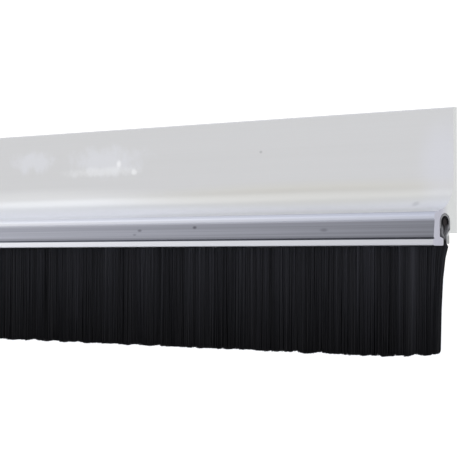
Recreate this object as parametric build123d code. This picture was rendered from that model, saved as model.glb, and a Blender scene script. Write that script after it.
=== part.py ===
from build123d import *
from math import radians, tan
import os

# A brush door sweep: an extruded aluminium carrier, and a brush strip that slides into its slot.
#
# Frame: millimetres. +X runs along the strip, +Z is up and -Y is the side that faces the room.
# The origin is the middle of the carrier's flat back face, which lies on the door at Y = 0.
# Every profile is drawn in depth (distance in front of the door) and height (Z).

# Overall sizes
LENGTH = 914.0  # for a 36 inch door leaf
BACK_FACE_HEIGHT = 29.3  # the flat face that lies on the door
BRISTLE_LENGTH = 25.8  # from the lower lip to the tips

# Carrier: walls
PLATE = 1.4  # against the door, above the slot
BACK_WALL = 2.8
FRONT_WALL = 2.0  # at its thin upper end
ROOF_WALL = 1.2  # above the slot's crown
ROOF_SLOPE = 14.0  # degrees, down towards the room
ROOT_RADIUS = 7.0  # hollow between plate and roof
PLATE_EDGE_RADIUS = 0.3

# Carrier: nose, front band and lower lip
NOSE_PROUD = 0.2  # beyond the top of the band
NOSE_HEIGHT = 1.4  # from the roof's edge to the top of the band
NOSE_RADIUS = 1.5
NOSE_UNDERCUT = 0.25  # height of the slope from nose to band
BAND_LEAN = 0.4  # how much further out the band's foot is
CREASE_DEPTH = 0.3
CREASE_HEIGHT = 0.4
LIP = 1.6  # its height
LIP_DROP = 2.9  # from the foot of the back face to the foot of the lip
LIP_PROUD = 0.2  # beyond the foot of the band
LIP_TOP_RADIUS = 0.4
LIP_FOOT_RADIUS = 0.6

# Carrier: the slot, its mouth and the lip behind the mouth
SLOT_WIDTH = 4.1
SLOT_SIDE = 1.6  # height of its straight sides, below the round crown
SLOT_FLOOR_RISE = 0.9  # of the floor at the back wall, above the foot of the back face
BACK_FLOOR_DROP = 1.5  # of the floor, from the back wall to the mouth
FRONT_FLOOR_RISE = 0.5  # of the floor at the front wall, above the top of the lip
MOUTH_WIDTH = 1.2
BACK_LIP = 1.15  # thickness of the lip behind the mouth
BACK_LIP_RISE = 0.4  # of its foot, above the foot of the lower lip
MOUTH_EDGE_RADIUS = 0.25

# Brush strip
SLIDE_GAP = 0.12  # strip to slot, each side
SHEET = 0.45  # folded steel backing
WIRE_DIAMETER = 1.7
PACK_GAP = 0.02  # filaments to wire, and filaments to backing
MOUTH_GAP = 0.18  # filaments to mouth, each side
ROW_TIP = 1.0  # thickness of one row of filaments at the tips
ROW_GAP = 0.02  # each row to the plane between them
FLEX_DROP = 0.3  # from the lower lip to the line about which the free filaments bend
FLEX_GAP = 0.1  # held filaments to free filaments

# Depths
slot_front = BACK_WALL + SLOT_WIDTH
slot_middle = BACK_WALL + SLOT_WIDTH / 2
mouth_back = slot_middle - MOUTH_WIDTH / 2
mouth_front = slot_middle + MOUTH_WIDTH / 2
back_lip_face = mouth_back - BACK_LIP
band_face = slot_front + FRONT_WALL
nose_face = band_face + NOSE_PROUD
band_foot = band_face + BAND_LEAN
lip_face = band_foot + LIP_PROUD

# Heights
plate_top = BACK_FACE_HEIGHT / 2
back_foot = -BACK_FACE_HEIGHT / 2
slot_floor = back_foot + SLOT_FLOOR_RISE
mouth_floor = slot_floor - BACK_FLOOR_DROP
crown_centre = slot_floor + SLOT_SIDE
lip_foot = back_foot - LIP_DROP
lip_top = lip_foot + LIP
back_lip_foot = lip_foot + BACK_LIP_RISE
flex_line = lip_foot - FLEX_DROP
tips = lip_foot - BRISTLE_LENGTH

# Brush strip, measured from the middle of the slot
channel_outside = SLOT_WIDTH / 2 - SLIDE_GAP
channel_inside = channel_outside - SHEET
channel_leg = SLOT_SIDE - SLIDE_GAP
pack_outside = channel_inside - PACK_GAP
pack_inside = WIRE_DIAMETER / 2 + PACK_GAP
row_root = MOUTH_WIDTH / 2 - MOUTH_GAP


def roof_height(depth):
    """Height of the straight roof line at a depth."""
    over_crown = crown_centre + SLOT_WIDTH / 2 + ROOF_WALL
    return over_crown - (depth - slot_middle) * tan(radians(ROOF_SLOPE))


def outline(*points):
    """A face from its (depth, height) corners."""
    return make_face(Polyline(*[(-depth, height) for depth, height in points], close=True))


def rounded(face, radius, *points):
    """The face with the corners nearest to these (depth, height) points rounded."""
    corners = [face.vertices().sort_by_distance((-depth, height))[0] for depth, height in points]
    return fillet(corners, radius)


def arch(radius, leg):
    """A half disc on straight sides, in the slot, centred on the slot's crown."""
    sides = Polyline((radius, 0), (radius, -leg), (-radius, -leg), (-radius, 0))
    return Pos(-slot_middle, crown_centre) * make_face(sides + CenterArc((0, 0), radius, 0, 180))


def along_strip(face):
    """A profile extruded over the whole length."""
    return extrude(Plane.YZ * face, amount=LENGTH / 2, both=True)


def carrier_outline():
    """The carrier's profile, before the slot is cut."""
    roof_corner = (PLATE, roof_height(PLATE))
    nose_corner = (nose_face, roof_height(nose_face))
    band_top = roof_height(nose_face) - NOSE_HEIGHT
    face = outline(
        (0, back_foot),
        (0, plate_top),
        (PLATE, plate_top),
        roof_corner,
        nose_corner,
        (nose_face, band_top),
        (band_face, band_top - NOSE_UNDERCUT),
        (band_foot, lip_top + CREASE_HEIGHT),
        (band_foot - CREASE_DEPTH, lip_top),
        (lip_face, lip_top),
        (lip_face, lip_foot),
        (slot_middle, lip_foot),
        (slot_middle, back_lip_foot),
        (back_lip_face, back_lip_foot),
        (back_lip_face, back_foot),
    )
    face = rounded(face, ROOT_RADIUS, roof_corner)
    face = rounded(face, NOSE_RADIUS, nose_corner)
    face = rounded(face, PLATE_EDGE_RADIUS, (PLATE, plate_top))
    face = rounded(face, LIP_TOP_RADIUS, (lip_face, lip_top))
    return rounded(face, LIP_FOOT_RADIUS, (lip_face, lip_foot))


def slot_outline():
    """The slot that holds the brush strip, with its sloping floors and its mouth."""
    floor_and_mouth = outline(
        (BACK_WALL, crown_centre),
        (BACK_WALL, slot_floor),
        (mouth_back, mouth_floor),
        (mouth_back, lip_foot - LIP),
        (mouth_front, lip_foot - LIP),
        (mouth_front, lip_top),
        (slot_front, lip_top + FRONT_FLOOR_RISE),
        (slot_front, crown_centre),
    )
    return arch(SLOT_WIDTH / 2, SLOT_SIDE) + floor_and_mouth


def carrier():
    """The aluminium extrusion."""
    face = carrier_outline() - slot_outline()
    mouth_edges = ((mouth_front, lip_foot), (mouth_back, back_lip_foot), (back_lip_face, back_lip_foot))
    return along_strip(rounded(face, MOUTH_EDGE_RADIUS, *mouth_edges))


def backing_channel():
    """The folded steel strip that grips the filaments, open below."""
    return along_strip(arch(channel_outside, channel_leg) - arch(channel_inside, channel_leg))


def core_wire():
    """The steel wire that the filaments are folded over."""
    return along_strip(Pos(-slot_middle, crown_centre) * Circle(WIRE_DIAMETER / 2))


def bristle_fold():
    """The held part of the filaments: over the wire, together, and down through the mouth."""
    channel_foot = crown_centre - channel_leg
    gathered = mouth_floor + MOUTH_GAP
    foot = flex_line + row_root + FLEX_GAP
    narrowing = outline(
        (slot_middle - pack_outside, channel_foot),
        (slot_middle + pack_outside, channel_foot),
        (slot_middle + row_root, gathered),
        (slot_middle + row_root, foot),
        (slot_middle - row_root, foot),
        (slot_middle - row_root, gathered),
    )
    hollow = Pos(-slot_middle, crown_centre) * Circle(pack_inside)
    return along_strip(arch(pack_outside, channel_leg) + narrowing - hollow)


def bristle_row(side):
    """One row of free filaments: side is 1 for the row in front and -1 for the row behind."""
    row = outline(
        (slot_middle + side * ROW_GAP, flex_line),
        (slot_middle + side * row_root, flex_line),
        (slot_middle + side * ROW_TIP, tips),
        (slot_middle + side * ROW_GAP, tips),
    )
    quarter = Pos(-slot_middle, flex_line) * Circle(row_root) & outline(
        (slot_middle + side * ROW_GAP, flex_line),
        (slot_middle + side * row_root, flex_line),
        (slot_middle + side * row_root, flex_line + row_root),
        (slot_middle + side * ROW_GAP, flex_line + row_root),
    )
    return along_strip(row + quarter)


PARTS = {
    "carrier_extrusion": carrier(),
    "backing_channel": backing_channel(),
    "core_wire": core_wire(),
    "bristle_fold": bristle_fold(),
    "bristles_front": bristle_row(1),
    "bristles_back": bristle_row(-1),
}

os.makedirs("parts", exist_ok=True)
for name, part in PARTS.items():
    export_step(part, f"parts/{name}.step")
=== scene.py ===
"""A brush door sweep: an extruded aluminium carrier that holds a slide-in strip of black filaments.

Everything is in metres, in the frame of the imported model. +X runs along the strip, +Z is up, the
door lies at Y = 0 and the room is on the -Y side. Profiles are drawn in depth (distance in front
of the door) and height (Z).
"""

from collections.abc import Callable
from dataclasses import dataclass, field
from enum import Enum
from math import acos, atan2, cos, e, pi, radians, sin, tan
import logging

import bpy
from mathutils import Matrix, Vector


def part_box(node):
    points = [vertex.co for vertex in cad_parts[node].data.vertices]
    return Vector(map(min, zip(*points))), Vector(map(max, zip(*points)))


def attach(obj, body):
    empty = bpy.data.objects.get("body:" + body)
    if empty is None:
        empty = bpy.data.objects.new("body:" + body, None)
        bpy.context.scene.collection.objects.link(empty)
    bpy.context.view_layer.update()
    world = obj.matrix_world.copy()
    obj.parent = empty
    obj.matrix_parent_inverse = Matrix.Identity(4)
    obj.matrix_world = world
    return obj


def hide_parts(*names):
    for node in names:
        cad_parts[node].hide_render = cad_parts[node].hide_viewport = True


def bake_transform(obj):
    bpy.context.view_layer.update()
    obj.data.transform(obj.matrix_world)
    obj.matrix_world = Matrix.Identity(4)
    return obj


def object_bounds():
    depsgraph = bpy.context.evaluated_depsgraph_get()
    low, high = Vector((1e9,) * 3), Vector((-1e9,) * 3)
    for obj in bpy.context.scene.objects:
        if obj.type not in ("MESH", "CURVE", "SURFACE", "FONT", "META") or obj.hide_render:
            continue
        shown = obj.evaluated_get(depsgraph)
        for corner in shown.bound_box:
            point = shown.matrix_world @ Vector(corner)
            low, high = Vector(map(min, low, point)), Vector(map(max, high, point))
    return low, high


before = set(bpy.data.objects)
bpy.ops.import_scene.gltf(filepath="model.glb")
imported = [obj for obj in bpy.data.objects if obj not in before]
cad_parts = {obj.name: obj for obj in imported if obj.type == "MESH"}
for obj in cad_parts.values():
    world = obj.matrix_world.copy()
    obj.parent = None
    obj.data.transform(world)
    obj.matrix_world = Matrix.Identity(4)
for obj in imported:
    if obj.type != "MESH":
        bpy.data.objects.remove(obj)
cad_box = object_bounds()

MM = 0.001
FILAMENT_PARTS = 3
FIRST_SEED = 11
SEED_STEP = 10
RELIEF = 0.02 * MM
WELD = 1e-6
WHITE = (1.0, 1.0, 1.0)
LOG = logging.getLogger("door_sweep")

Point = tuple[float, float]
Colour = tuple[float, float, float]
Triple = tuple[float, float, float]


# ---------------------------------------------------------------- node trees


class Step(Enum):
    """How a value goes from one level to the next."""

    SMOOTH = "SMOOTHSTEP"
    STRAIGHT = "LINEAR"


class Signal:
    """A number that flows through a node tree. Python's operators on it add Math nodes."""

    def __init__(self, graph: "Graph", socket: bpy.types.NodeSocket) -> None:
        """Wrap an output socket of a graph's node."""
        self.graph = graph
        self.socket = socket

    def _math(self, operation: str, *terms: "Signal | float") -> "Signal":
        """Add one Math node.

        Args:
            operation: Blender's name for the operation.
            terms: the node's values, in order.

        Returns:
            The node's result.
        """
        return self.graph.node("ShaderNodeMath", {"operation": operation}, dict(enumerate(terms)))[0]

    def __add__(self, other: "Signal | float") -> "Signal":
        """Sum."""
        return self._math("ADD", self, other)

    __radd__ = __add__

    def __sub__(self, other: "Signal | float") -> "Signal":
        """Difference."""
        return self._math("SUBTRACT", self, other)

    def __rsub__(self, other: float) -> "Signal":
        """Difference from a plain number."""
        return self._math("SUBTRACT", other, self)

    def __mul__(self, other: "Signal | float") -> "Signal":
        """Product."""
        return self._math("MULTIPLY", self, other)

    __rmul__ = __mul__

    def __truediv__(self, other: "Signal | float") -> "Signal":
        """Quotient."""
        return self._math("DIVIDE", self, other)

    def __pow__(self, other: "Signal | float") -> "Signal":
        """Power."""
        return self._math("POWER", self, other)

    def __rpow__(self, other: float) -> "Signal":
        """Plain number raised to this one."""
        return self._math("POWER", other, self)

    def __neg__(self) -> "Signal":
        """Opposite."""
        return self._math("MULTIPLY", self, -1.0)

    def abs(self) -> "Signal":
        """Size without its sign."""
        return self._math("ABSOLUTE", self)

    def sine(self) -> "Signal":
        """Sine of an angle in radians."""
        return self._math("SINE", self)

    def cosine(self) -> "Signal":
        """Cosine of an angle in radians."""
        return self._math("COSINE", self)

    def ramp(self, low: float, high: float, shape: Step = Step.SMOOTH) -> "Signal":
        """Step from 0 at low to 1 at high.

        Args:
            low: where the step starts; above high, the step falls instead.
            high: where it ends.
            shape: smooth, or straight.

        Returns:
            The step, from 0 to 1.
        """
        settings = {"interpolation_type": shape.value}
        sockets = {"Value": self, "From Min": low, "From Max": high}
        return self.graph.node("ShaderNodeMapRange", settings, sockets)[0]


class Outputs:
    """What a node gives out, by name or by place among its enabled sockets."""

    def __init__(self, graph: "Graph", made: bpy.types.Node) -> None:
        """Hold a node of a graph."""
        self.graph = graph
        self.made = made

    def __getitem__(self, key: str | int) -> Signal:
        """The output of that name, or the enabled output at that place.

        Args:
            key: the output's name, or its place.

        Returns:
            The output.
        """
        enabled = [s for s in self.made.outputs if s.enabled]
        found = enabled[key] if isinstance(key, int) else next(s for s in enabled if s.name == key)
        return Signal(self.graph, found)


class Graph:
    """Builds one node tree, for a material, the world or Geometry Nodes."""

    def __init__(self, tree: bpy.types.NodeTree) -> None:
        """Start from an empty tree."""
        self.tree = tree
        tree.nodes.clear()

    def node(
        self,
        kind: str,
        settings: dict[str, object] | None = None,
        sockets: dict[str | int, object] | None = None,
    ) -> Outputs:
        """Add a node.

        Args:
            kind: Blender's type name.
            settings: properties, set first; "stops" are a colour ramp's (place, colour) pairs.
            sockets: values or links, by the input's name or its place among enabled inputs.

        Returns:
            The node's outputs.
        """
        made = self.tree.nodes.new(kind)
        for name, value in (settings or {}).items():
            if name == "stops":
                self._set_stops(made.color_ramp, value)
            else:
                setattr(made, name, value)
        enabled = [s for s in made.inputs if s.enabled]
        for key, value in (sockets or {}).items():
            target = enabled[key] if isinstance(key, int) else next(s for s in enabled if s.name == key)
            if isinstance(value, Signal):
                self.tree.links.new(value.socket, target)
            else:
                target.default_value = value
        return Outputs(self, made)

    @staticmethod
    def _set_stops(ramp: bpy.types.ColorRamp, stops: list[tuple[float, Colour]]) -> None:
        """Give a colour ramp its stops.

        Args:
            ramp: the ramp.
            stops: (place, colour) pairs, in order.
        """
        while len(ramp.elements) < len(stops):
            ramp.elements.new(1.0)
        for element, (place, colour) in zip(ramp.elements, stops):
            element.position = place
            element.color = (*colour, 1.0)

    def mix(self, factor: Signal | float, first: object, second: object) -> Signal:
        """Mix two colours, each a link or a plain (r, g, b).

        Args:
            factor: 0 for the first and 1 for the second.
            first: colour at 0.
            second: colour at 1.

        Returns:
            The mixed colour.
        """
        ends = {key: (*c, 1.0) if isinstance(c, tuple) else c for key, c in zip("AB", (first, second))}
        return self.node("ShaderNodeMix", {"data_type": "RGBA"}, {"Factor": factor, **ends})["Result"]

    def vector(self, operation: str, *terms: object) -> Signal:
        """Add one Vector Math node and return its result."""
        return self.node("ShaderNodeVectorMath", {"operation": operation}, dict(enumerate(terms)))[0]

    def combine(self, x: object = 0.0, y: object = 0.0, z: object = 0.0) -> Signal:
        """A vector from three numbers."""
        return self.node("ShaderNodeCombineXYZ", {}, {"X": x, "Y": y, "Z": z})[0]

    def noise(self, where: Signal, scale: float, detail: float = 2.0, rough: float = 0.5) -> Signal:
        """Soft noise about 0.5.

        Args:
            where: the position that it is read at.
            scale: cells for each unit of position.
            detail: finer layers.
            rough: strength of the finer layers.

        Returns:
            The noise value.
        """
        sockets = {"Vector": where, "Scale": scale, "Detail": detail, "Roughness": rough}
        return self.node("ShaderNodeTexNoise", {}, sockets)[0]

    def lines(self, where: Signal, scales: Triple, detail: float, rough: float) -> Signal:
        """Noise drawn out into lines: scales are its cells for each metre of X, Y and Z."""
        return self.noise(self.vector("MULTIPLY", where, scales), 1.0, detail, rough)

    def bump(self, strength: float, height: Signal) -> Signal:
        """The normal over fine relief."""
        sockets = {"Strength": strength, "Distance": RELIEF, "Height": height}
        return self.node("ShaderNodeBump", {}, sockets)["Normal"]

    def principled(self, sockets: dict[str, object]) -> Signal:
        """The general shader with these sockets set."""
        return self.node("ShaderNodeBsdfPrincipled", {}, sockets)[0]


# ---------------------------------------------------------------- finishes


class Finish:
    """A material that is read from Object coordinates. Each finish fills in its own surface."""

    name = "finish"

    def surface(self, graph: Graph) -> Signal:
        """The closed shader of this finish."""
        raise NotImplementedError

    def material(self) -> bpy.types.Material:
        """The Blender material, made once for each name.

        Returns:
            The material.
        """
        made = bpy.data.materials.get(self.name)
        if made is None:
            made = bpy.data.materials.new(self.name)
            made.use_nodes = True
            graph = Graph(made.node_tree)
            graph.node("ShaderNodeOutputMaterial", {}, {"Surface": self.surface(graph)})
        return made

    @staticmethod
    def position(graph: Graph) -> tuple[Signal, Signal, Signal, Signal]:
        """Object coordinates as a vector and as its three numbers.

        Args:
            graph: the material's tree.

        Returns:
            The vector, X, Y and Z.
        """
        where = graph.node("ShaderNodeTexCoord")["Object"]
        parts = graph.node("ShaderNodeSeparateXYZ", {}, {"Vector": where})
        return where, parts["X"], parts["Y"], parts["Z"]


@dataclass(frozen=True)
class Mark:
    """A soft oval mark on the face that looks into the room."""

    x: float
    height: float
    half_length: float
    half_height: float
    tint: Colour
    strength: float
    ragged: float = 0.0
    core: float = 0.25

    def mask(self, graph: Graph, x: Signal, z: Signal, cloud: Signal) -> Signal:
        """How strongly the mark shows.

        Args:
            graph: the material's tree.
            x: place along the strip.
            z: height.
            cloud: soft noise, which breaks the edge of a ragged mark.

        Returns:
            From 0 outside it to its strength in the middle.
        """
        away = graph.combine((x - self.x) / self.half_length, (z - self.height) / self.half_height)
        length = graph.node("ShaderNodeVectorMath", {"operation": "LENGTH"}, {0: away})["Value"]
        if self.ragged:
            length = length + (cloud - 0.5) * self.ragged
        return length.ramp(1.0, self.core) * self.strength


@dataclass(frozen=True)
class ExtrudedAluminium(Finish):
    """Satin extruded aluminium: die lines, a few handling marks, painted light and shade, a painted-dark
    front band.
    """

    name: str = "extruded aluminium"
    colour: Colour = (0.555, 0.557, 0.565)
    # The hollow's lighter bluish colour is painted light from above.
    hollow_painted_light: Colour = (0.76, 0.765, 0.80)
    # The band's darker colour is painted shade.
    band_painted_shade_colour: Colour = (0.40, 0.41, 0.47)
    end_shade: float = 0.50
    lip_shade: float = 0.66
    shade_reach: float = 175.0 * MM
    roughness: float = 0.34
    relief: float = 0.2
    die_scales: Triple = (6.0, 2600.0, 2600.0)
    broad_scales: Triple = (1.5, 260.0, 260.0)
    streaks: Point = (0.30, 0.70)
    streak_lift: float = 0.20
    band: Point = (0.0, 0.0)
    band_depth: float = 0.0
    band_fade: float = 1.0 * MM
    crease: Point = (1.5 * MM, 0.9 * MM)
    crease_shade: float = 0.30
    nose: Point = (0.0, 0.0)
    nose_shade: float = 0.12
    nose_end_shade: float = 0.27
    # The nose's bluish tint is a painted reflection, strongest at the cut ends.
    nose_painted_light_tint: Colour = (0.975, 1.0, 1.09)
    hollow: Point = (0.0, 0.0)
    roof: Point = (3.0 * MM, 5.5 * MM)
    # The roof's lift is painted light.
    roof_painted_light: float = 0.15
    strip_end: float = 0.0
    edge: float = 0.15 * MM
    low_fade: float = 0.6 * MM
    cloud_scale: float = 0.28 / MM
    room_side: Point = (0.4 * MM, 1.0 * MM)
    marks: tuple[Mark, ...] = ()

    def surface(self, graph: Graph) -> Signal:
        """Lines, marks, painted bluish light in the hollow, and the band's painted shade.

        Args:
            graph: the material's tree.

        Returns:
            The shader.
        """
        where, x, y, z = self.position(graph)
        lines = graph.lines(where, self.die_scales, 3.0, 0.6)
        broad = graph.lines(where, self.broad_scales, 2.0, 0.5)
        low, high = self.band
        depth = -y
        in_front = depth.ramp(self.band_depth - self.edge, self.band_depth)
        band = z.ramp(low, low + self.low_fade) * z.ramp(high, high - self.band_fade) * in_front
        near_end = (self.strip_end - x.abs()).ramp(self.shade_reach, 0.0, Step.STRAIGHT)
        room_side = depth.ramp(*self.room_side)
        # Painted bluish light in the hollow, on the face towards the room.
        painted_light_colour = graph.mix(z.ramp(*self.hollow) * room_side, self.colour, self.hollow_painted_light)
        roof = depth.ramp(*self.roof) * (1.0 - in_front)
        # The roof's lift is painted light; the lip's and the nose's darkening is painted shade.
        bright = (0.95 + 0.06 * broad + 0.04 * lines) * (1.0 + self.roof_painted_light * roof)
        above_band = z.ramp(low, high)
        bright = bright * (1.0 - (1.0 - self.lip_shade) * near_end * in_front * (1.0 - above_band))
        nose = depth.ramp(*self.nose) * above_band
        bright = bright * (1.0 - nose * (self.nose_shade + self.nose_end_shade * near_end))
        # Painted bluish reflection on the nose, towards the cut ends.
        tint = graph.mix(nose * near_end, WHITE, self.nose_painted_light_tint)
        painted_light_colour = graph.vector("MULTIPLY", painted_light_colour, tint)
        plate = graph.vector("SCALE", painted_light_colour, bright)
        # dull is the band's colour, darkened with painted shade.
        dull = self._band(graph, z, lines, near_end)
        cloud = graph.noise(where, self.cloud_scale, 4.0, 0.6)
        # Marks: smears and specks, and painted highlights, glints, reflection and shade.
        for mark in self.marks:
            mask = mark.mask(graph, x, z, cloud) * room_side
            plate, dull = graph.mix(mask, plate, mark.tint), graph.mix(mask, dull, mark.tint)
        return self._shader(graph, plate, dull, band, lines, broad)

    def _band(self, graph: Graph, z: Signal, lines: Signal, near_end: Signal) -> Signal:
        """The band's colour: painted shade, streaked, and more of it towards the cut ends and in the
        crease below it.

        Args:
            graph: the material's tree.
            z: height.
            lines: die lines.
            near_end: 1 at the cut ends.

        Returns:
            The colour.
        """
        streaks = lines.ramp(*self.streaks)
        crease = z.ramp(self.band[0] + self.crease[0], self.band[0] + self.crease[1])
        streaked = 1.0 - self.streak_lift + self.streak_lift * streaks
        shade = streaked * (1.0 - self.end_shade * near_end) * (1.0 - self.crease_shade * crease)
        return graph.vector("SCALE", graph.combine(*self.band_painted_shade_colour), shade)

    def _shader(
        self, graph: Graph, plate: Signal, dull: Signal, band: Signal, lines: Signal, broad: Signal
    ) -> Signal:
        """Put the layers together.

        Args:
            graph: the material's tree.
            plate: colour away from the band.
            dull: colour of the band, darkened with painted shade.
            band: 1 on the band.
            lines: fine lines.
            broad: broad lines.

        Returns:
            The shader.
        """
        colour = graph.mix(band, plate, dull)
        roughness = self.roughness + 0.10 * (broad - 0.5) - 0.04 * band
        height = lines * (0.25 + 0.75 * band) + broad * 0.4
        bump = graph.bump(self.relief, height)
        sockets = {"Base Color": colour, "Metallic": 1.0, "Roughness": roughness, "Normal": bump}
        return graph.principled(sockets)


@dataclass(frozen=True)
class SawnAluminium(Finish):
    """The cut end of the extrusion, with the marks of the saw, bluer away from the door."""

    name: str = "sawn aluminium"
    colour: Colour = (0.60, 0.61, 0.60)
    outer_colour: Colour = (0.44, 0.44, 0.50)
    outer: Point = (3.0 * MM, 7.0 * MM)
    back_lip: Point = (4.6 * MM, 4.2 * MM)
    back_foot: Point = (-14.8 * MM, -15.6 * MM)
    back_shade: float = 0.45
    roughness: float = 0.42
    relief: float = 0.4
    saw_scales: Triple = (0.0, 5200.0, 500.0)

    def surface(self, graph: Graph) -> Signal:
        """Fine upright marks over a pale cut.

        Args:
            graph: the material's tree.

        Returns:
            The shader.
        """
        where, _, y, z = self.position(graph)
        marks = graph.lines(where, self.saw_scales, 3.0, 0.6)
        depth = -y
        pale = graph.mix(depth.ramp(*self.outer), self.colour, self.outer_colour)
        shaded = 1.0 - self.back_shade * depth.ramp(*self.back_lip) * z.ramp(*self.back_foot)
        colour = graph.vector("SCALE", pale, (0.88 + 0.22 * marks) * shaded)
        bump = graph.bump(self.relief, marks)
        roughness = self.roughness + 0.15 * (marks - 0.5)
        sockets = {"Base Color": colour, "Metallic": 1.0, "Roughness": roughness, "Normal": bump}
        return graph.principled(sockets)


@dataclass(frozen=True)
class GalvanisedSteel(Finish):
    """The folded backing strip: dull grey with a fine spangle."""

    name: str = "galvanised steel"
    colour: Colour = (0.28, 0.28, 0.29)
    roughness: float = 0.5
    spangle_scale: float = 900.0
    rolling_scales: Triple = (20.0, 4000.0, 4000.0)

    def surface(self, graph: Graph) -> Signal:
        """Spangle and rolling lines.

        Args:
            graph: the material's tree.

        Returns:
            The shader.
        """
        where, _, _, _ = self.position(graph)
        sockets = {"Vector": where, "Scale": self.spangle_scale}
        cells = graph.node("ShaderNodeTexVoronoi", {}, sockets)["Color"]
        lines = graph.lines(where, self.rolling_scales, 2.0, 0.5)
        spangle = graph.node("ShaderNodeSeparateColor", {}, {"Color": cells})[0]
        colour = graph.mix(spangle * 0.5 + lines * 0.5, tuple(0.7 * c for c in self.colour), self.colour)
        roughness = self.roughness + 0.2 * (spangle - 0.5)
        sockets = {"Base Color": colour, "Metallic": 1.0, "Roughness": roughness}
        return graph.principled(sockets)


@dataclass(frozen=True)
class DrawnWire(Finish):
    """The core wire: drawn steel, near-black as painted shade for the dark slot around it."""

    name: str = "drawn wire"
    # Near-black: painted shade for the dark slot around the wire.
    colour: Colour = (0.026, 0.022, 0.023)
    roughness: float = 0.45
    drawing_scales: Triple = (15.0, 6000.0, 6000.0)

    def surface(self, graph: Graph) -> Signal:
        """Drawing lines along the wire.

        Args:
            graph: the material's tree.

        Returns:
            The shader.
        """
        where, _, _, _ = self.position(graph)
        lines = graph.lines(where, self.drawing_scales, 2.0, 0.6)
        colour = graph.mix(lines, tuple(0.6 * c for c in self.colour), self.colour)
        sockets = {"Base Color": colour, "Metallic": 1.0, "Roughness": self.roughness}
        return graph.principled(sockets)


@dataclass(frozen=True)
class BlackNylon(Finish):
    """Black nylon, a little lighter from one filament to the next, and lighter towards the roots."""

    name: str = "black nylon"
    dark: Colour = (0.0020, 0.0020, 0.0028)
    light: Colour = (0.040, 0.041, 0.050)
    roughness: float = 0.5
    gloss: float = 0.10
    tone: str = "tone"
    paler: Point = (0.0, 0.0)
    lowest_lightness: float = 0.06

    def surface(self, graph: Graph) -> Signal:
        """One tone for each filament, fading from its root to its tip.

        Args:
            graph: the material's tree.

        Returns:
            The shader.
        """
        _, _, _, z = self.position(graph)
        tone = graph.node("ShaderNodeAttribute", {"attribute_name": self.tone})["Fac"]
        lightness = self.lowest_lightness + (1.0 - self.lowest_lightness) * z.ramp(*self.paler, Step.STRAIGHT)
        colour = graph.mix(tone * lightness, self.dark, self.light)
        roughness = self.roughness + 0.15 * tone
        sockets = {"Base Color": colour, "Roughness": roughness, "Specular IOR Level": self.gloss}
        return graph.principled(sockets)


def filament_finish() -> BlackNylon:
    """The filaments' finish: lighter at the lip and dark at the tips."""
    return BlackNylon(paler=(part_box("bristles_front")[0].z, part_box("carrier_extrusion")[0].z))


@dataclass(frozen=True)
class PaintedLightNylon(BlackNylon):
    """Nylon at the cut end, lighter: painted light on the lit side of the folded filaments."""

    name: str = "dusty nylon"
    # Lighter nylon: painted light on the lit side of the folded filaments.
    light: Colour = (0.17, 0.17, 0.18)
    paler: Point = (-1.0, -0.5)  # far below the strip, so all of it is at its palest: painted light


@dataclass(frozen=True)
class PaleFloor(Finish):
    """The studio's floor."""

    name: str = "pale floor"
    colour: Colour = (0.95, 0.945, 0.94)
    roughness: float = 0.9

    def surface(self, graph: Graph) -> Signal:
        """A matt, even white.

        Args:
            graph: the material's tree.

        Returns:
            The shader.
        """
        where, _, _, _ = self.position(graph)
        grain = graph.noise(where, 3.0)
        colour = graph.mix(grain, tuple(0.98 * c for c in self.colour), self.colour)
        return graph.principled({"Base Color": colour, "Roughness": self.roughness})


# ---------------------------------------------------------------- geometry helpers


@dataclass
class Corner:
    """A corner of an outline, sharp or rounded."""

    depth: float
    height: float
    radius: float = 0.0


class Outline:
    """A closed outline of straight runs with rounded corners."""

    SEGMENT = radians(9.0)

    def __init__(self, corners: list[Corner]) -> None:
        """Keep the corners, in order."""
        self.corners = corners

    def points(self) -> list[Point]:
        """The outline's points, with each rounded corner as an arc.

        Returns:
            (depth, height) points, in order.
        """
        count = len(self.corners)
        made: list[Point] = []
        for i, corner in enumerate(self.corners):
            before, after = self.corners[i - 1], self.corners[(i + 1) % count]
            made += self._corner_points(before, corner, after)
        return made

    def _corner_points(self, before: Corner, corner: Corner, after: Corner) -> list[Point]:
        """The points of one corner.

        Args:
            before: the corner before it.
            corner: the corner itself.
            after: the corner after it.

        Returns:
            One point if it is sharp, or else its arc.
        """
        here = Vector((corner.depth, corner.height))
        if not corner.radius:
            return [tuple(here)]
        back = (Vector((before.depth, before.height)) - here).normalized()
        on = (Vector((after.depth, after.height)) - here).normalized()
        half = acos(max(-1.0, min(1.0, back.dot(on)))) / 2
        centre = here + (back + on).normalized() * (corner.radius / sin(half))
        start = here + back * (corner.radius / tan(half)) - centre
        end = here + on * (corner.radius / tan(half)) - centre
        first = atan2(start.y, start.x)
        turn = (atan2(end.y, end.x) - first + pi) % (2 * pi) - pi
        steps = max(2, round(abs(turn) / self.SEGMENT))
        angles = [first + turn * k / steps for k in range(steps + 1)]
        return [(centre.x + corner.radius * cos(a), centre.y + corner.radius * sin(a)) for a in angles]


def linked(name: str, data: bpy.types.ID) -> bpy.types.Object:
    """An object that shows this data, linked to the scene.

    Args:
        name: the object's name.
        data: its mesh, light or camera.

    Returns:
        The object.
    """
    made = bpy.data.objects.new(name, data)
    bpy.context.scene.collection.objects.link(made)
    return made


def circle_points(depth: float, height: float, radius: float, count: int = 40) -> list[Point]:
    """Points round a circle in the profile's plane."""
    turns = [2 * pi * k / count for k in range(count)]
    return [(depth + radius * cos(a), height + radius * sin(a)) for a in turns]


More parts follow.
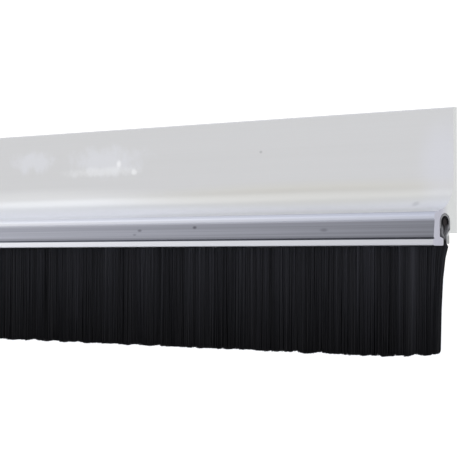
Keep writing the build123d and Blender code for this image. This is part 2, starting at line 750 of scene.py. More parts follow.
def face_object(name: str, points: list[Point], x: float) -> bpy.types.Object:
    """An object that is one flat face, in the plane across the strip, facing +X.

    Args:
        name: the object's name.
        points: the face's (depth, height) points.
        x: the plane's place along the strip.

    Returns:
        The object, linked to the scene.
    """
    area = sum(a[0] * b[1] - b[0] * a[1] for a, b in zip(points, points[1:] + points[:1]))
    ordered = points if area < 0 else points[::-1]
    mesh = bpy.data.meshes.new(name)
    mesh.from_pydata([(x, -depth, height) for depth, height in ordered], [], [list(range(len(points)))])
    return linked(name, mesh)


class ShapeTree:
    """A Geometry Nodes tree with named inputs, run once on an object and then made a plain mesh."""

    KINDS = {
        float: "NodeSocketFloat",
        int: "NodeSocketInt",
        bpy.types.Material: "NodeSocketMaterial",
    }

    def __init__(self, name: str, inputs: dict[str, object]) -> None:
        """Make an empty tree.

        Args:
            name: the tree's name.
            inputs: the named inputs and their values.
        """
        self.inputs = inputs
        self.tree = bpy.data.node_groups.new(name, "GeometryNodeTree")
        self.graph = Graph(self.tree)
        self.tree.interface.new_socket("Geometry", in_out="INPUT", socket_type="NodeSocketGeometry")
        self.sockets = {
            key: self.tree.interface.new_socket(key, in_out="INPUT", socket_type=self.KINDS[type(value)])
            for key, value in inputs.items()
        }
        self.tree.interface.new_socket("Geometry", in_out="OUTPUT", socket_type="NodeSocketGeometry")
        self.given = self.graph.node("NodeGroupInput")

    def finish(self, shape: Signal) -> None:
        """Connect the finished shape to the tree's output."""
        self.graph.node("NodeGroupOutput", {}, {"Geometry": shape})

    def apply(self, made: bpy.types.Object) -> bpy.types.Object:
        """Run the tree on an object and leave a plain mesh.

        Args:
            made: the object, whose mesh is the tree's geometry.

        Returns:
            The same object, without the modifier.
        """
        modifier = made.modifiers.new(self.tree.name, "NODES")
        modifier.node_group = self.tree
        for key, value in self.inputs.items():
            modifier[self.sockets[key].identifier] = value
        depsgraph = bpy.context.evaluated_depsgraph_get()
        evaluated = made.evaluated_get(depsgraph)
        result = bpy.data.meshes.new_from_object(
            evaluated, preserve_all_data_layers=True, depsgraph=depsgraph
        )
        made.modifiers.remove(modifier)
        made.data = result
        result.name = made.name
        return made


def empty_object(name: str) -> bpy.types.Object:
    """An object with an empty mesh, linked to the scene."""
    return linked(name, bpy.data.meshes.new(name))


def random_number(graph: Graph, seed: Signal, salt: int, low: float = 0.0, high: float = 1.0) -> Signal:
    """A random number for each element, a different one for each salt."""
    sockets = {"Min": low, "Max": high, "Seed": seed + float(salt)}
    return graph.node("FunctionNodeRandomValue", {"data_type": "FLOAT"}, sockets)["Value"]


def store(graph: Graph, geometry: Signal, name: str, value: Signal) -> Signal:
    """Keep a number on a geometry's points under a name."""
    sockets = {"Geometry": geometry, "Name": name, "Value": value}
    return graph.node("GeometryNodeStoreNamedAttribute", {"data_type": "FLOAT"}, sockets)[0]


def stored(graph: Graph, name: str) -> Signal:
    """A number kept on a geometry's points."""
    settings = {"data_type": "FLOAT"}
    return graph.node("GeometryNodeInputNamedAttribute", settings, {"Name": name})["Attribute"]


def spline_share(graph: Graph) -> Signal:
    """How far along its own curve a point is, from 0 to 1."""
    return graph.node("GeometryNodeSplineParameter")["Factor"]


def straight_line(graph: Graph, steps: Signal) -> Signal:
    """A line with a number of points, to be bent into a filament."""
    sockets = {"Start": (0.0, 0.0, 0.0), "End": (0.0, 0.0, -1.0)}
    line = graph.node("GeometryNodeCurvePrimitiveLine", {}, sockets)[0]
    return graph.node("GeometryNodeResampleCurve", {}, {"Curve": line, "Count": steps})[0]


def strands_on(shape: "ShapeTree", cloud: Signal, path: Callable[[Graph, Outputs], Signal]) -> Signal:
    """One line at each point of a cloud, bent along a path.

    Args:
        shape: the tree, with its Steps.
        cloud: the points.
        path: works out where each point of the lines goes.

    Returns:
        The filaments' centre lines.
    """
    graph, given = shape.graph, shape.given
    line = straight_line(graph, given["Steps"])
    placed = graph.node("GeometryNodeInstanceOnPoints", {}, {"Points": cloud, "Instance": line})[0]
    real = graph.node("GeometryNodeRealizeInstances", {}, {"Geometry": placed})[0]
    sockets = {"Geometry": real, "Position": path(graph, given)}
    return graph.node("GeometryNodeSetPosition", {}, sockets)[0]


def thickened(shape: "ShapeTree", strands: Signal) -> Signal:
    """Closed round filaments along curves, from the tree's Sides, Radius and Filament.

    Args:
        shape: the tree.
        strands: the filaments' centre lines.

    Returns:
        The finished mesh, with its material.
    """
    graph, given = shape.graph, shape.given
    sockets = {"Resolution": given["Sides"], "Radius": given["Radius"]}
    circle = graph.node("GeometryNodeCurvePrimitiveCircle", {}, sockets)[0]
    sockets = {"Curve": strands, "Profile Curve": circle, "Fill Caps": True}
    solid = graph.node("GeometryNodeCurveToMesh", {}, sockets)[0]
    smooth = graph.node("GeometryNodeSetShadeSmooth", {}, {"Geometry": solid, "Shade Smooth": True})[0]
    real = graph.node("GeometryNodeRealizeInstances", {}, {"Geometry": smooth})[0]
    return graph.node("GeometryNodeSetMaterial", {}, {"Geometry": real, "Material": given["Filament"]})[0]


def extruded(
    name: str, points: list[Point], span: Point, side: Finish, end: Finish, crisp: float = 30.0
) -> bpy.types.Object:
    """A profile extruded along the strip, with closed ends.

    Args:
        name: the piece's name.
        points: the profile's (depth, height) points.
        span: where it starts and ends along X.
        side: finish of its long faces.
        end: finish of its cut ends.
        crisp: an edge sharper than this, in degrees, stays crisp.

    Returns:
        The piece, as a plain mesh.
    """
    inputs = {"Length": span[1] - span[0], "Side": side.material(), "End": end.material()}
    shape = ShapeTree(f"{name} extrusion", inputs)
    graph, given = shape.graph, shape.given
    offset = graph.combine(given["Length"])
    sockets = {"Mesh": given["Geometry"], "Offset": offset, "Offset Scale": 1.0, "Individual": False}
    grown = graph.node("GeometryNodeExtrudeMesh", {"mode": "FACES"}, sockets)
    walls = {"Geometry": grown["Mesh"], "Material": given["Side"]}
    walled = graph.node("GeometryNodeSetMaterial", {}, walls)[0]
    far_end = {"Geometry": walled, "Material": given["End"], "Selection": grown["Top"]}
    capped = graph.node("GeometryNodeSetMaterial", {}, far_end)[0]
    near = graph.node("GeometryNodeFlipFaces", {}, {"Mesh": given["Geometry"]})[0]
    near = graph.node("GeometryNodeSetMaterial", {}, {"Geometry": near, "Material": given["End"]})[0]
    both = graph.node("GeometryNodeJoinGeometry")
    join = both.made.inputs[0]
    for part in (near, capped):
        shape.tree.links.new(part.socket, join)
    closed = graph.node("GeometryNodeMergeByDistance", {}, {"Geometry": both[0], "Distance": WELD})[0]
    smooth = graph.node("GeometryNodeSetShadeSmooth", {}, {"Geometry": closed, "Shade Smooth": True})[0]
    shape.finish(graph.node("GeometryNodeRealizeInstances", {}, {"Geometry": smooth})[0])
    made = shape.apply(face_object(name, points, span[0]))
    made.data.set_sharp_from_angle(angle=radians(crisp))
    return made


# ---------------------------------------------------------------- the door sweep


class Row(Enum):
    """The two rows of free filaments, by the side of the wire that they come from."""

    FRONT = 1
    BACK = -1


class End(Enum):
    """The strip's two ends, by their direction along X."""

    LEFT = -1
    RIGHT = 1


@dataclass
class Carrier:
    """The aluminium extrusion: plate, roof, nose, band, lips and slot."""

    plate: float = 1.4 * MM
    back_wall: float = 2.8 * MM
    front_wall: float = 2.0 * MM
    roof_wall: float = 1.2 * MM
    roof_slope: float = 14.0
    root_radius: float = 7.0 * MM
    plate_edge_radius: float = 0.3 * MM
    nose_proud: float = 0.2 * MM
    nose_height: float = 1.4 * MM
    nose_radius: float = 1.5 * MM
    nose_undercut: float = 0.25 * MM
    band_lean: float = 0.4 * MM
    crease_depth: float = 0.3 * MM
    crease_height: float = 0.4 * MM
    lip: float = 1.6 * MM
    lip_top_radius: float = 0.4 * MM
    lip_foot_radius: float = 0.6 * MM
    lip_drop: float = 2.9 * MM
    slot_floor_rise: float = 0.9 * MM
    slot_side: float = 1.6 * MM
    back_floor_drop: float = 1.5 * MM
    front_floor_rise: float = 0.5 * MM
    mouth_width: float = 1.2 * MM
    back_lip: float = 1.15 * MM
    back_lip_rise: float = 0.4 * MM
    mouth_edge_radius: float = 0.25 * MM
    hollow_above: float = 2.0 * MM
    hollow_below: float = 0.8 * MM
    # pale is a painted highlight in the hollow, and also the colour of a pale smear on the plate.
    pale: Colour = (0.78, 0.79, 0.80)
    # bright is the colour of painted glints.
    bright: Colour = (0.92, 0.92, 0.94)
    # A painted reflection, paler and bluer, near the cut end.
    cool_painted_reflection: Colour = (0.62, 0.63, 0.72)
    misty: Colour = (0.64, 0.65, 0.69)
    # These two colours are painted shade over the hollow's highlight.
    warm: Colour = (0.56, 0.55, 0.51)
    dim_painted_shade: Colour = (0.45, 0.445, 0.43)
    dark: Colour = (0.08, 0.08, 0.10)
    low: Vector = field(default_factory=lambda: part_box("carrier_extrusion")[0])
    high: Vector = field(default_factory=lambda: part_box("carrier_extrusion")[1])

    def __post_init__(self) -> None:
        """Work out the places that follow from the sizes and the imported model."""
        wire_low, wire_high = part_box("core_wire")
        self.lip_face = -self.low.y
        self.lip_foot = self.low.z
        self.lip_top = self.lip_foot + self.lip
        self.back_foot = self.lip_foot + self.lip_drop
        self.slot_middle = -(wire_low.y + wire_high.y) / 2
        self.slot_width = 2 * (self.slot_middle - self.back_wall)
        self.slot_front = self.back_wall + self.slot_width
        self.slot_floor = self.back_foot + self.slot_floor_rise
        self.crown_centre = self.slot_floor + self.slot_side
        self.crown = self.crown_centre + self.slot_width / 2
        self.mouth_floor = self.slot_floor - self.back_floor_drop
        self.band_face = self.slot_front + self.front_wall
        self.nose_face = self.band_face + self.nose_proud
        self.band_foot = self.band_face + self.band_lean
        self.band_top = self.roof_height(self.nose_face) - self.nose_height

    def roof_height(self, depth: float) -> float:
        """Height of the straight roof line at a depth."""
        fall = (depth - self.slot_middle) * tan(radians(self.roof_slope))
        return self.crown + self.roof_wall - fall

    def outside(self) -> list[Corner]:
        """The corners from the foot of the back face, over the top and down to the mouth.

        Returns:
            The corners, in order.
        """
        roof, nose = self.roof_height(self.plate), self.roof_height(self.nose_face)
        return [
            Corner(0.0, self.back_foot),
            Corner(0.0, self.high.z),
            Corner(self.plate, self.high.z, self.plate_edge_radius),
            Corner(self.plate, roof, self.root_radius),
            Corner(self.nose_face, nose, self.nose_radius),
            Corner(self.nose_face, self.band_top),
            Corner(self.band_face, self.band_top - self.nose_undercut),
            Corner(self.band_foot, self.lip_top + self.crease_height),
            Corner(self.band_foot - self.crease_depth, self.lip_top),
            Corner(self.lip_face, self.lip_top, self.lip_top_radius),
            Corner(self.lip_face, self.lip_foot, self.lip_foot_radius),
        ]

    def inside(self) -> list[Corner]:
        """The corners up the mouth, round the slot and down the lip behind it.

        Returns:
            The corners, in order.
        """
        front, back = (self.slot_middle + side * self.mouth_width / 2 for side in (1, -1))
        back_lip_foot = self.lip_foot + self.back_lip_rise
        return [
            Corner(front, self.lip_foot, self.mouth_edge_radius),
            Corner(front, self.lip_top),
            Corner(self.slot_front, self.lip_top + self.front_floor_rise),
            Corner(self.slot_front, self.crown, self.slot_width / 2),
            Corner(self.back_wall, self.crown, self.slot_width / 2),
            Corner(self.back_wall, self.slot_floor),
            Corner(back, self.mouth_floor),
            Corner(back, back_lip_foot, self.mouth_edge_radius),
            Corner(back - self.back_lip, back_lip_foot, self.mouth_edge_radius),
            Corner(back - self.back_lip, self.back_foot),
        ]

    def marks(self) -> tuple[Mark, ...]:
        """Smears, scratches and specks, with painted highlights, glints, reflection and shade, each by
        its distance from the right-hand end.

        Returns:
            The marks, in the order in which they are laid on.
        """
        end = self.high.x
        return (
            # A painted highlight in the hollow on the left, then painted shade over the hollow's
            # highlight on the right.
            Mark(end - 150 * MM, -4.2 * MM, 75 * MM, 4.2 * MM, self.pale, 0.32),
            Mark(end - 40 * MM, -4.8 * MM, 85 * MM, 4.4 * MM, self.warm, 0.75),
            Mark(end - 45 * MM, -4.5 * MM, 75 * MM, 2.0 * MM, self.dim_painted_shade, 0.45),
            Mark(end - 145 * MM, 6.8 * MM, 11 * MM, 3.8 * MM, self.misty, 0.55, 1.6),
            Mark(end - 116 * MM, 6.0 * MM, 19 * MM, 5.2 * MM, self.misty, 0.55, 1.2),
            Mark(end - 118 * MM, 3.3 * MM, 18 * MM, 1.8 * MM, self.pale, 0.34, 1.0),
            # Two painted glints.
            Mark(end - 110.4 * MM, 5.3 * MM, 1.3 * MM, 1.6 * MM, self.bright, 0.45, 1.0),
            Mark(end - 104.6 * MM, 2.9 * MM, 1.5 * MM, 1.1 * MM, self.bright, 0.40, 1.0),
            Mark(end - 59.1 * MM, 6.5 * MM, 0.7 * MM, 0.5 * MM, self.dark, 0.30),
            Mark(end - 9.1 * MM, -7.7 * MM, 1.4 * MM, 0.8 * MM, self.dark, 0.22),
            Mark(end - 94.8 * MM, -13.2 * MM, 1.1 * MM, 0.50 * MM, self.dark, 0.60),
            Mark(end - 96.6 * MM, -14.3 * MM, 0.9 * MM, 0.40 * MM, self.dark, 0.40),
            Mark(end - 75.0 * MM, -12.6 * MM, 1.0 * MM, 0.55 * MM, self.dark, 0.80),
            Mark(end - 32.2 * MM, -13.7 * MM, 1.8 * MM, 0.60 * MM, self.dark, 0.45, 1.2),
            # A painted reflection, paler and bluer, near the cut end.
            Mark(end - 3.0 * MM, 2.0 * MM, 9.0 * MM, 13.0 * MM, self.cool_painted_reflection, 0.30),
        )

    def build(self) -> bpy.types.Object:
        """The extrusion, in place of its CAD node.

        Returns:
            The piece, riding on its body.
        """
        root = self.roof_height(self.plate)
        side = ExtrudedAluminium(
            band=(self.lip_top - self.lip_top_radius, self.band_top + self.nose_height / 5),
            nose=(self.nose_face - self.nose_radius, self.nose_face - self.nose_radius / 2),
            band_depth=self.band_face - self.nose_proud,
            hollow=(root + self.hollow_above, root - self.hollow_below),
            strip_end=self.high.x,
            marks=self.marks(),
        )
        points = Outline(self.outside() + self.inside()).points()
        made = extruded("carrier", points, (self.low.x, self.high.x), side, SawnAluminium())
        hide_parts("carrier_extrusion")
        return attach(made, "carrier")


@dataclass
class BrushStrip:
    """What slides in the slot: backing, wire and the filaments that they hold."""

    carrier: Carrier
    sheet: float = 0.45 * MM
    sheet_edge: float = 0.08 * MM
    pack_gap: float = 0.02 * MM
    mouth_gap: float = 0.18 * MM
    fringe: float = 1.2 * MM

    def __post_init__(self) -> None:
        """Read the strip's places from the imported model."""
        self.backing_low, self.backing_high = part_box("backing_channel")
        self.fold_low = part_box("bristle_fold")[0]
        wire_low, wire_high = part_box("core_wire")
        self.span = (self.backing_low.x, self.backing_high.x)
        self.middle = self.carrier.slot_middle
        self.centre = self.carrier.crown_centre
        self.wire_radius = (wire_high.z - wire_low.z) / 2
        self.outside = (self.backing_high.y - self.backing_low.y) / 2
        self.pack_outside = self.outside - self.sheet - self.pack_gap
        self.neck = self.carrier.mouth_width / 2 - self.mouth_gap

    def backing(self) -> bpy.types.Object:
        """The folded steel, in place of its CAD node.

        Returns:
            The piece, riding on the strip.
        """
        inside, foot = self.outside - self.sheet, self.backing_low.z
        left, right = self.middle - self.outside, self.middle + self.outside
        corners = [
            Corner(left, foot, self.sheet_edge),
            Corner(left, self.centre + self.outside, self.outside),
            Corner(right, self.centre + self.outside, self.outside),
            Corner(right, foot, self.sheet_edge),
            Corner(right - self.sheet, foot, self.sheet_edge),
            Corner(right - self.sheet, self.centre + inside, inside),
            Corner(left + self.sheet, self.centre + inside, inside),
            Corner(left + self.sheet, foot, self.sheet_edge),
        ]
        steel = GalvanisedSteel()
        made = extruded("backing", Outline(corners).points(), self.span, steel, steel)
        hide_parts("backing_channel")
        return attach(made, "insert")

    def wire(self) -> bpy.types.Object:
        """The core wire, in place of its CAD node.

        Returns:
            The piece, riding on the strip.
        """
        points = circle_points(self.middle, self.centre, self.wire_radius)
        made = extruded("wire", points, self.span, DrawnWire(), DrawnWire(), crisp=50.0)
        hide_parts("core_wire")
        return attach(made, "insert")

    def held_filaments(self) -> bpy.types.Object:
        """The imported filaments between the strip's two ends, open round the wire.

        Returns:
            The piece, riding on the strip.
        """
        gap = self.wire_radius + self.pack_gap
        gathered = self.carrier.mouth_floor + self.mouth_gap
        left, right = self.middle - self.pack_outside, self.middle + self.pack_outside
        slit = self.pack_gap / 2
        corners = [
            Corner(self.middle - slit, self.fold_low.z),
            Corner(self.middle - self.neck, self.fold_low.z),
            Corner(self.middle - self.neck, gathered),
            Corner(left, self.backing_low.z),
            Corner(left, self.centre + self.pack_outside, self.pack_outside),
            Corner(right, self.centre + self.pack_outside, self.pack_outside),
            Corner(right, self.backing_low.z),
            Corner(self.middle + self.neck, gathered),
            Corner(self.middle + self.neck, self.fold_low.z),
            Corner(self.middle + slit, self.fold_low.z),
        ]
        points = Outline(corners).points()
        around = circle_points(self.middle, self.centre, gap)
        start = 3 * len(around) // 4
        points += around[start + 1 :] + around[: start]
        span = (self.span[0] + self.fringe, self.span[1] - self.fringe)
        made = extruded("held_filaments", points, span, filament_finish(), filament_finish())
        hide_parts("bristle_fold")
        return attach(made, "insert")

    def build(self) -> list[bpy.types.Object]:
        """All pieces that ride on the sliding strip."""
        folded = [FoldedFilaments(self, end).build(f"folded_{end.name.lower()}") for end in End]
        return [self.backing(), self.wire(), self.held_filaments(), *folded]


@dataclass
class FoldedFilaments:
    """The last filaments at one end of the strip, each folded over the wire and down to the mouth."""

    strip: BrushStrip
    end: End
    count: int = 64
    radius: float = 0.09 * MM
    proud: float = 0.10 * MM
    soft_turn: float = 0.0001
    front_sag: float = 1.1 * MM
    back_sag: float = 0.3 * MM
    crown_share: float = 0.40
    leg_share: float = 0.60
    painted_light_share: Point = (0.90, 0.70)
    steps: int = 26
    sides: int = 5
    seed: int = 5

    def tree(self) -> ShapeTree:
        """The Geometry Nodes tree that folds and thickens the filaments.

        Returns:
            The finished tree.
        """
        strip = self.strip
        side = float(self.end.value)
        inputs = {
            "Count": self.count,
            "Start": strip.span[1] * side + self.proud * side,
            "Reach": -side * strip.fringe,
            "Middle": -strip.middle,
            "Centre": strip.centre,
            "Inner": strip.wire_radius + strip.pack_gap + self.radius,
            "Outer": strip.pack_outside - self.radius,
            "Neck": strip.neck - self.radius,
            "Leg": strip.centre - strip.backing_low.z,
            "Drop": strip.backing_low.z - strip.fold_low.z,
            "Front Sag": self.front_sag,
            "Back Sag": self.back_sag,
            "Radius": self.radius,
            "Steps": self.steps,
            "Sides": self.sides,
            "Seed": self.seed,
            "Filament": PaintedLightNylon().material(),
        }
        shape = ShapeTree(f"folded filaments {self.end.name.lower()}", inputs)
        graph, given = shape.graph, shape.given
        salt = [random_number(graph, given["Seed"], k) for k in range(2)]
        start = graph.combine(given["Start"] + given["Reach"] * salt[0])
        cloud = graph.node("GeometryNodePoints", {}, {"Count": given["Count"], "Position": start})[0]
        cloud = store(graph, cloud, "layer", salt[1])
        bent = strands_on(shape, cloud, self._path)
        away = (spline_share(graph) - 0.5).abs() * 2.0
        # Painted light on the legs, with painted shade at the crown and at the feet.
        lightness = away.ramp(self.crown_share * 0.8, self.crown_share) * away.ramp(*self.painted_light_share)
        shape.finish(thickened(shape, store(graph, bent, "tone", lightness)))
        return shape

    def _path(self, graph: Graph, given: Outputs) -> Signal:
        """Up from the mouth, round the wire and down again.

        Args:
            graph: the tree.
            given: the tree's inputs.

        Returns:
            Where each point goes.
        """
        here = graph.node("GeometryNodeInputPosition")[0]
        x = graph.node("ShaderNodeSeparateXYZ", {}, {"Vector": here})["X"]
        turn = (spline_share(graph) - 0.5) * 2.0
        away = turn.abs()
        side = turn / (away + self.soft_turn)
        layer = stored(graph, "layer")
        radius = given["Inner"] + (given["Outer"] - given["Inner"]) * layer
        angle = away.ramp(0.0, self.crown_share, Step.STRAIGHT) * (pi / 2)
        leg = away.ramp(self.crown_share, self.leg_share, Step.STRAIGHT)
        narrowing = away.ramp(self.leg_share, 1.0, Step.STRAIGHT)
        gather = away.ramp(self.leg_share, 0.5 + self.leg_share / 2)
        depth = radius * angle.sine() + (given["Neck"] * layer - radius) * gather
        sag = given["Back Sag"] + (given["Front Sag"] - given["Back Sag"]) * side.ramp(-1.0, 1.0)
        fall = (given["Leg"] + sag) * leg + (given["Drop"] - sag) * narrowing
        height = given["Centre"] + radius * angle.cosine() - fall
        return graph.combine(x, given["Middle"] - side * depth, height)

    def build(self, name: str) -> bpy.types.Object:
        """The folded filaments as one plain mesh.

        Args:
            name: the piece's name.

        Returns:
            The piece.
        """
        made = self.tree().apply(empty_object(name))
        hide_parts("bristle_fold")
        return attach(made, "insert")


@dataclass
class FreeFilaments:
    """One row of free filaments over part of the strip: straight, dense and slightly uneven."""

    carrier: Carrier
    row: Row
    span: tuple[float, float]
    seed: int
    per_metre: float = 17500.0
    radius: float = 0.12 * MM
    root_inset: float = 0.5 * MM
    root_depth: float = 0.40 * MM
    tip_depth: float = 0.80 * MM
    jitter: float = 1.2
    overlong: float = 0.52 * MM
    ragged: float = 0.60 * MM
    uneven: float = 0.75 * MM
    stray: float = 0.17 * MM
    bunch: float = 0.75 * MM
    end_splay: float = 0.85 * MM
    end_pull: float = 2.85 * MM
    end_reach: float = 2.2 * MM
    end_trim: float = 1.0 * MM
    trim_reach: float = 17.0 * MM
    crowding: float = 2.2
    splay_from: float = 0.03
    bow_rate: float = 6.0
    bow_share: float = 0.6
    bunch_scale: float = 0.28 / MM
    uneven_scale: float = 0.22 / MM
    streak_scale: float = 0.8 / MM
    broad_scale: float = 0.08 / MM
    tone_floor: float = 0.14
    own_tone: float = 0.18
    fine_range: Point = (0.42, 0.70)
    fine_tone: float = 0.42
    broad_range: Point = (0.42, 0.66)
    broad_tone: float = 0.26
    wander_power: float = 1.5
    swing_share: float = 0.6
    waves: Point = (0.35, 0.75)
    steps: int = 6
    sides: int = 3

    SHAPED_BY = (
        ("root_depth", "tip_depth", "jitter", "overlong", "ragged", "uneven", "stray", "bunch")
        + ("end_splay", "end_pull", "end_reach", "end_trim", "trim_reach")
        + ("radius", "steps", "sides", "seed")
    )

    def __post_init__(self) -> None:
        """Read the row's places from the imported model."""
        node = "bristles_front" if self.row is Row.FRONT else "bristles_back"
        self.node = node
        self.low, self.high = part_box(node)
        self.root = self.carrier.lip_foot + self.root_inset
        self.length = self.root - self.low.z

    def tree(self) -> ShapeTree:
        """The Geometry Nodes tree that scatters, bends and thickens the filaments.

        Returns:
            The finished tree.
        """
        inputs = {
            "Count": round((self.span[1] - self.span[0]) * self.per_metre),
            "Start": self.span[0],
            "Span": self.span[1] - self.span[0],
            "Strip Start": self.low.x,
            "Strip End": self.high.x,
            "Depth": -self.carrier.slot_middle,
            "Side": float(-self.row.value),
            "Root Height": self.root,
            "Length": self.length,
            **{name.replace("_", " ").title(): getattr(self, name) for name in self.SHAPED_BY},
            "Filament": filament_finish().material(),
        }
        shape = ShapeTree(f"filaments {self.row.name.lower()} {self.seed}", inputs)
        shape.finish(thickened(shape, self._strands(shape)))
        return shape

    def _strands(self, shape: ShapeTree) -> Signal:
        """The filaments' centre lines.

        Args:
            shape: the tree that they are added to.

        Returns:
            The curves.
        """
        graph, given = shape.graph, shape.given
        seed = given["Seed"]
        index = graph.node("GeometryNodeInputIndex")[0]
        jitter = random_number(graph, seed, 1, -1.0) * given["Jitter"]
        along = given["Start"] + given["Span"] * ((index + 0.5 + jitter) / given["Count"])
        share = random_number(graph, seed, 2)
        depth = given["Depth"] + given["Side"] * share * given["Root Depth"]
        roots = graph.combine(along, depth, given["Root Height"])
        cloud = graph.node("GeometryNodePoints", {}, {"Count": given["Count"], "Position": roots})[0]
        marks = {
            "share": share,
            "tone": self._tone(graph, given, along),
            "stray_x": random_number(graph, seed, 3, -1.0),
            "stray_y": random_number(graph, seed, 4, -1.0),
            "trim": random_number(graph, seed, 5) ** 2.0,
        }
        for name, value in marks.items():
            cloud = store(graph, cloud, name, value)
        return strands_on(shape, cloud, self._bent)

    def _tone(self, graph: Graph, given: Outputs, along: Signal) -> Signal:
        """How light each filament is: dark, with soft streaks in broad groups.

        Args:
            graph: the tree.
            given: the tree's inputs.
            along: place along the strip.

        Returns:
            From 0, dark, to 1.
        """
        fine = graph.noise(graph.combine(along * self.streak_scale, given["Side"]), 1.0, 3.0, 0.65)
        broad = graph.noise(graph.combine(along * self.broad_scale), 1.0, 3.0, 0.6)
        own = random_number(graph, given["Seed"], 6)
        fine_part = fine.ramp(*self.fine_range) * self.fine_tone
        broad_part = broad.ramp(*self.broad_range) * self.broad_tone
        return self.tone_floor + fine_part + broad_part + own * self.own_tone

    def _bent(self, graph: Graph, given: Outputs) -> Signal:
        """Where each point goes: down, fanned out, bunched, and splayed or pulled in at the ends.

        Args:
            graph: the tree.
            given: the tree's inputs.

        Returns:
            The new position.
        """
        here = graph.node("GeometryNodeInputPosition")[0]
        parts = graph.node("ShaderNodeSeparateXYZ", {}, {"Vector": here})
        x, y = parts["X"], parts["Y"]
        down = spline_share(graph) ** self.crowding
        share, stray_x, stray_y = (stored(graph, mark) for mark in ("share", "stray_x", "stray_y"))
        bunch = graph.noise(graph.combine(x * self.bunch_scale, given["Side"]), 1.0) - 0.5
        from_left, from_right = x - given["Strip Start"], given["Strip End"] - x
        left, right = (e ** (-(away / given["End Reach"])) for away in (from_left, from_right))
        bow = 1.0 - e ** (down * -self.bow_rate)
        splay = given["End Splay"] * down.ramp(0.0, self.splay_from)
        pull = given["End Pull"] * (self.bow_share * bow + (1.0 - self.bow_share) * down) - splay
        wander = down**self.wander_power
        sideways = stray_x * given["Stray"] * wander + bunch * given["Bunch"] * down
        sideways = sideways + (left - right) * pull
        near_end = 1.0 - self._inner(from_left, given) * self._inner(from_right, given)
        waves = graph.noise(graph.combine(x * self.uneven_scale), 1.0, 3.0, 0.6).ramp(*self.waves)
        shorter = given["Ragged"] * stored(graph, "trim") + given["Uneven"] * waves
        shorter = shorter + given["End Trim"] * near_end
        fan = given["Side"] * share * (given["Tip Depth"] - given["Root Depth"]) * down
        swing = stray_y * given["Stray"] * self.swing_share * wander
        height = given["Root Height"] - (given["Length"] + given["Overlong"] - shorter) * down
        return graph.combine(x + sideways, y + fan + swing, height)

    @staticmethod
    def _inner(away: Signal, given: Outputs) -> Signal:
        """0 at an end of the strip and 1 beyond the reach of its trimming."""
        return (away / given["Trim Reach"]).ramp(0.0, 1.0)

    def build(self, name: str) -> bpy.types.Object:
        """The filaments as one plain mesh.

        Args:
            name: the piece's name.

        Returns:
            The piece.
        """
        made = self.tree().apply(empty_object(name))
        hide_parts(self.node)
        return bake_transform(made)


# ---------------------------------------------------------------- the studio


@dataclass(frozen=True)
class Softbox:
    """A square soft light: where it stands, its side in metres, its power in watts and its colour."""

    name: str
    place: Triple
    side: float
    power: float
    colour: Colour


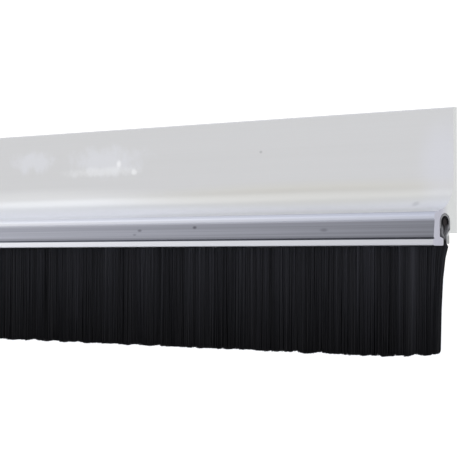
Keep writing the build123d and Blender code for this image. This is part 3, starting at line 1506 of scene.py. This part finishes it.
@dataclass
class Studio:
    """A pale floor, soft lights and the camera."""

    floor_drop: float = 90.0 * MM
    floor_size: float = 30.0
    lens: float = 138.1
    camera_along: float = 237.0 * MM
    camera_out: float = 342.5 * MM
    camera_rise: float = 23.0 * MM
    camera_turn: float = 41.89
    camera_tilt: float = 0.83
    sensor: float = 36.0
    clip: float = 0.01
    aim_share: float = 0.6
    room_strength: float = 1.15
    level: Colour = (1.0, 0.995, 0.985)
    above: Colour = (0.93, 0.95, 1.0)
    softboxes: tuple[Softbox, ...] = (
        Softbox("key softbox", (-0.47, -0.64, 0.65), 0.5, 0.38, (1.0, 0.99, 0.96)),
        Softbox("top softbox", (0.5, -0.3, 1.3), 1.0, 2.5, (0.93, 0.95, 1.0)),
        Softbox("right fill", (1.5, -0.2, 0.2), 0.8, 2.5, (1.0, 0.98, 0.96)),
    )

    def floor(self) -> bpy.types.Object:
        """The floor, below the tips.

        Returns:
            The floor.
        """
        half, height = self.floor_size / 2, cad_box[0].z - self.floor_drop
        mesh = bpy.data.meshes.new("floor")
        turns = ((-half, -half), (half, -half), (half, half), (-half, half))
        corners = [(x, y, height) for x, y in turns]
        mesh.from_pydata(corners, [], [(0, 1, 2, 3)])
        mesh.materials.append(PaleFloor().material())
        made = linked("floor", mesh)
        return made

    def camera(self) -> bpy.types.Object:
        """The camera: nearly level, in front of the strip's right end, looking along it to the left.

        Returns:
            The camera.
        """
        end = cad_box[1].x
        turn, tilt = radians(self.camera_turn), radians(self.camera_tilt)
        look = Vector((-sin(turn) * cos(tilt), cos(turn) * cos(tilt), sin(tilt)))
        data = bpy.data.cameras.new("camera")
        data.lens = self.lens
        data.sensor_width = self.sensor
        data.clip_start = self.clip
        made = linked("camera", data)
        made.location = (end + self.camera_along, -self.camera_out, cad_box[0].z + self.camera_rise)
        made.rotation_mode = "QUATERNION"
        made.rotation_quaternion = look.to_track_quat("-Z", "Y")
        bpy.context.scene.camera = made
        return made

    def light(self, box: Softbox) -> bpy.types.Object:
        """Set up one softbox, aimed at the strip's right-hand half.

        Args:
            box: the softbox.

        Returns:
            The light.
        """
        data = bpy.data.lights.new(box.name, "AREA")
        data.size = box.side
        data.energy = box.power
        data.color = box.colour
        made = linked(box.name, data)
        made.location = box.place
        made.rotation_mode = "QUATERNION"
        aim = Vector((cad_box[1].x * self.aim_share, 0.0, 0.0)) - Vector(box.place)
        made.rotation_quaternion = aim.to_track_quat("-Z", "Y")
        return made

    def world(self) -> None:
        """A white room, warm at eye level and cooler above."""
        made = bpy.data.worlds.new("white room")
        bpy.context.scene.world = made
        made.use_nodes = True
        graph = Graph(made.node_tree)
        where = graph.node("ShaderNodeTexCoord")["Generated"]
        height = graph.node("ShaderNodeSeparateXYZ", {}, {"Vector": where})["Z"]
        stops = [(0.5, self.level), (0.58, self.level), (0.75, self.above), (1.0, self.above)]
        colour = graph.node("ShaderNodeValToRGB", {"stops": stops}, {"Fac": 0.5 + height * 0.5})["Color"]
        sockets = {"Color": colour, "Strength": self.room_strength}
        back = graph.node("ShaderNodeBackground", {}, sockets)[0]
        graph.node("ShaderNodeOutputWorld", {}, {"Surface": back})

    def build(self) -> None:
        """Everything that isn't part of the object."""
        self.world()
        self.floor()
        for box in self.softboxes:
            self.light(box)
        self.camera()
        bpy.context.scene.view_settings.view_transform = "Standard"


def main() -> None:
    """Build the studio and the door sweep, in order."""
    logging.basicConfig(level=logging.INFO, format="%(message)s")
    Studio().build()
    carrier = Carrier()
    pieces = [carrier.build(), *BrushStrip(carrier).build()]
    low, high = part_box("bristles_front")
    width = (high.x - low.x) / FILAMENT_PARTS
    for row in Row:
        for part in range(FILAMENT_PARTS):
            start = low.x + width * part
            seed = FIRST_SEED + SEED_STEP * part + row.value
            filaments = FreeFilaments(carrier, row, (start, start + width), seed=seed)
            pieces.append(filaments.build(f"filaments_{row.name.lower()}_{part + 1}"))
    for piece in pieces:
        LOG.info("%s: %d faces", piece.name, len(piece.data.polygons))


if __name__ == "__main__":
    main()
